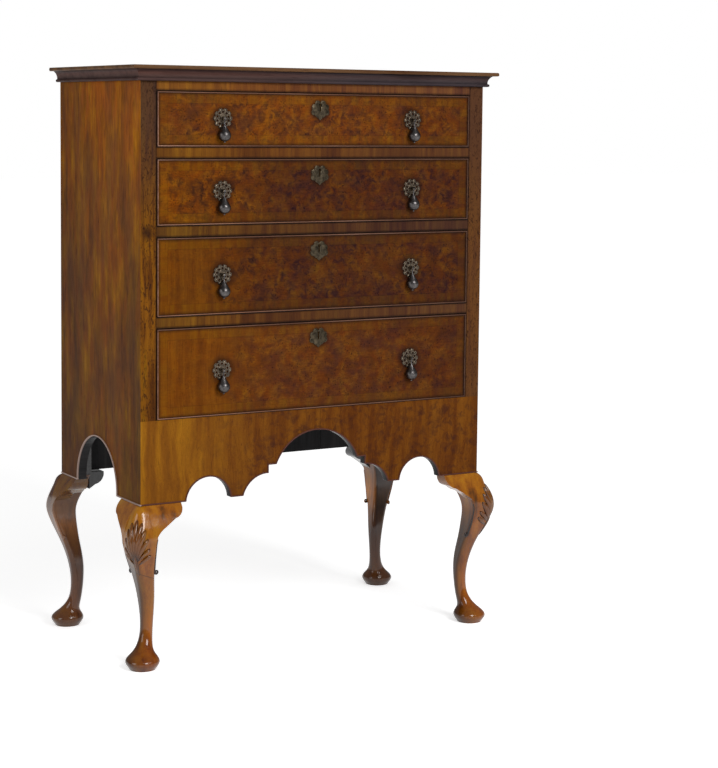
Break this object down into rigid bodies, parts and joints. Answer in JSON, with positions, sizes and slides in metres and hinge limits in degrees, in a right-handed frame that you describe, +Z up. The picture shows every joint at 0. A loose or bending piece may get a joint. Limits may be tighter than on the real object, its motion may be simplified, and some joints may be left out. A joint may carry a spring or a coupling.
{
  "type": "chest of drawers",
  "caption": "Tall walnut chest of graduated drawers on carved cabriole legs, with a shaped apron, pear-drop brass handles and keyed locks.",
  "frame": {"origin": "on the floor under the middle of the chest", "axes": "+Z up, +X to the right as seen from the front, -Y the way the drawers open"},
  "size_m": [0.9668, 0.5268, 1.346],
  "materials": {
    "top_walnut": "waxed figured walnut",
    "dark_walnut": "dark polished walnut",
    "case_walnut": "straight-grained walnut veneer, polished",
    "crossband_walnut": "cross-grained walnut veneer, polished",
    "burr_walnut": "burr walnut veneer with crossbanding, polished",
    "apron_walnut": "figured walnut veneer, polished",
    "bead_walnut": "solid walnut bead, polished",
    "leg_walnut": "solid walnut, high polish",
    "drawer_oak": "plain oak, unpolished",
    "carcase_pine": "plain pine, darkened with age",
    "aged_brass": "cast brass, dark patina",
    "lock_brass": "plain brass, dull",
    "bolt_steel": "filed steel"
  },
  "bodies": {
    "carcase": {"top_board": "top_walnut", "cornice_moulding": "dark_walnut", "side_left": "case_walnut", "side_right": "case_walnut", "back_boards": "carcase_pine", "drawer_rails": "crossband_walnut", "front_stiles": "crossband_walnut", "drawer_runners": "carcase_pine", "bottom_board": "carcase_pine", "front_apron": "apron_walnut", "edge_beads": "bead_walnut", "leg_front_left": "leg_walnut", "leg_front_right": "leg_walnut", "leg_back_left": "leg_walnut", "leg_back_right": "leg_walnut", "knee_brackets": "leg_walnut"},
    "drawer_1": {"drawer_front_1": "burr_walnut", "drawer_sides_1": "drawer_oak", "drawer_back_1": "drawer_oak", "drawer_bottom_1": "drawer_oak", "cock_beads_1": "bead_walnut", "escutcheon_1": "aged_brass", "lock_1": "lock_brass", "handle_mounts_1": "aged_brass"},
    "lock_bolt_1": {"lock_bolt_1": "bolt_steel"},
    "drop_1_left": {"drop_1_left": "aged_brass"},
    "drop_1_right": {"drop_1_right": "aged_brass"},
    "drawer_2": {"drawer_front_2": "burr_walnut", "drawer_sides_2": "drawer_oak", "drawer_back_2": "drawer_oak", "drawer_bottom_2": "drawer_oak", "cock_beads_2": "bead_walnut", "escutcheon_2": "aged_brass", "lock_2": "lock_brass", "handle_mounts_2": "aged_brass"},
    "lock_bolt_2": {"lock_bolt_2": "bolt_steel"},
    "drop_2_left": {"drop_2_left": "aged_brass"},
    "drop_2_right": {"drop_2_right": "aged_brass"},
    "drawer_3": {"drawer_front_3": "burr_walnut", "drawer_sides_3": "drawer_oak", "drawer_back_3": "drawer_oak", "drawer_bottom_3": "drawer_oak", "cock_beads_3": "bead_walnut", "escutcheon_3": "aged_brass", "lock_3": "lock_brass", "handle_mounts_3": "aged_brass"},
    "lock_bolt_3": {"lock_bolt_3": "bolt_steel"},
    "drop_3_left": {"drop_3_left": "aged_brass"},
    "drop_3_right": {"drop_3_right": "aged_brass"},
    "drawer_4": {"drawer_front_4": "burr_walnut", "drawer_sides_4": "drawer_oak", "drawer_back_4": "drawer_oak", "drawer_bottom_4": "drawer_oak", "cock_beads_4": "bead_walnut", "escutcheon_4": "aged_brass", "lock_4": "lock_brass", "handle_mounts_4": "aged_brass"},
    "lock_bolt_4": {"lock_bolt_4": "bolt_steel"},
    "drop_4_left": {"drop_4_left": "aged_brass"},
    "drop_4_right": {"drop_4_right": "aged_brass"}
  },
  "joints": [
    {"name": "drawer_1_slide", "type": "slide", "parent": "carcase", "child": "drawer_1", "axis": [0, -1, 0], "range_m": [0, 0.33]},
    {"name": "lock_bolt_1_slide", "type": "slide", "parent": "drawer_1", "child": "lock_bolt_1", "axis": [0, 0, 1], "range_m": [0, 0.008]},
    {"name": "drop_1_left_swing", "type": "hinge", "parent": "drawer_1", "child": "drop_1_left", "pos_m": [-0.25, -0.2405, 1.231], "axis": [-1, 0, 0], "range_deg": [0, 85]},
    {"name": "drop_1_right_swing", "type": "hinge", "parent": "drawer_1", "child": "drop_1_right", "pos_m": [0.25, -0.2405, 1.231], "axis": [-1, 0, 0], "range_deg": [0, 85]},
    {"name": "drawer_2_slide", "type": "slide", "parent": "carcase", "child": "drawer_2", "axis": [0, -1, 0], "range_m": [0, 0.33]},
    {"name": "lock_bolt_2_slide", "type": "slide", "parent": "drawer_2", "child": "lock_bolt_2", "axis": [0, 0, 1], "range_m": [0, 0.008]},
    {"name": "drop_2_left_swing", "type": "hinge", "parent": "drawer_2", "child": "drop_2_left", "pos_m": [-0.25, -0.2405, 1.0695], "axis": [-1, 0, 0], "range_deg": [0, 85]},
    {"name": "drop_2_right_swing", "type": "hinge", "parent": "drawer_2", "child": "drop_2_right", "pos_m": [0.25, -0.2405, 1.0695], "axis": [-1, 0, 0], "range_deg": [0, 85]},
    {"name": "drawer_3_slide", "type": "slide", "parent": "carcase", "child": "drawer_3", "axis": [0, -1, 0], "range_m": [0, 0.33]},
    {"name": "lock_bolt_3_slide", "type": "slide", "parent": "drawer_3", "child": "lock_bolt_3", "axis": [0, 0, 1], "range_m": [0, 0.008]},
    {"name": "drop_3_left_swing", "type": "hinge", "parent": "drawer_3", "child": "drop_3_left", "pos_m": [-0.25, -0.2405, 0.8815], "axis": [-1, 0, 0], "range_deg": [0, 85]},
    {"name": "drop_3_right_swing", "type": "hinge", "parent": "drawer_3", "child": "drop_3_right", "pos_m": [0.25, -0.2405, 0.8815], "axis": [-1, 0, 0], "range_deg": [0, 85]},
    {"name": "drawer_4_slide", "type": "slide", "parent": "carcase", "child": "drawer_4", "axis": [0, -1, 0], "range_m": [0, 0.33]},
    {"name": "lock_bolt_4_slide", "type": "slide", "parent": "drawer_4", "child": "lock_bolt_4", "axis": [0, 0, 1], "range_m": [0, 0.008]},
    {"name": "drop_4_left_swing", "type": "hinge", "parent": "drawer_4", "child": "drop_4_left", "pos_m": [-0.25, -0.2405, 0.6655], "axis": [-1, 0, 0], "range_deg": [0, 85]},
    {"name": "drop_4_right_swing", "type": "hinge", "parent": "drawer_4", "child": "drop_4_right", "pos_m": [0.25, -0.2405, 0.6655], "axis": [-1, 0, 0], "range_deg": [0, 85]}
  ]
}
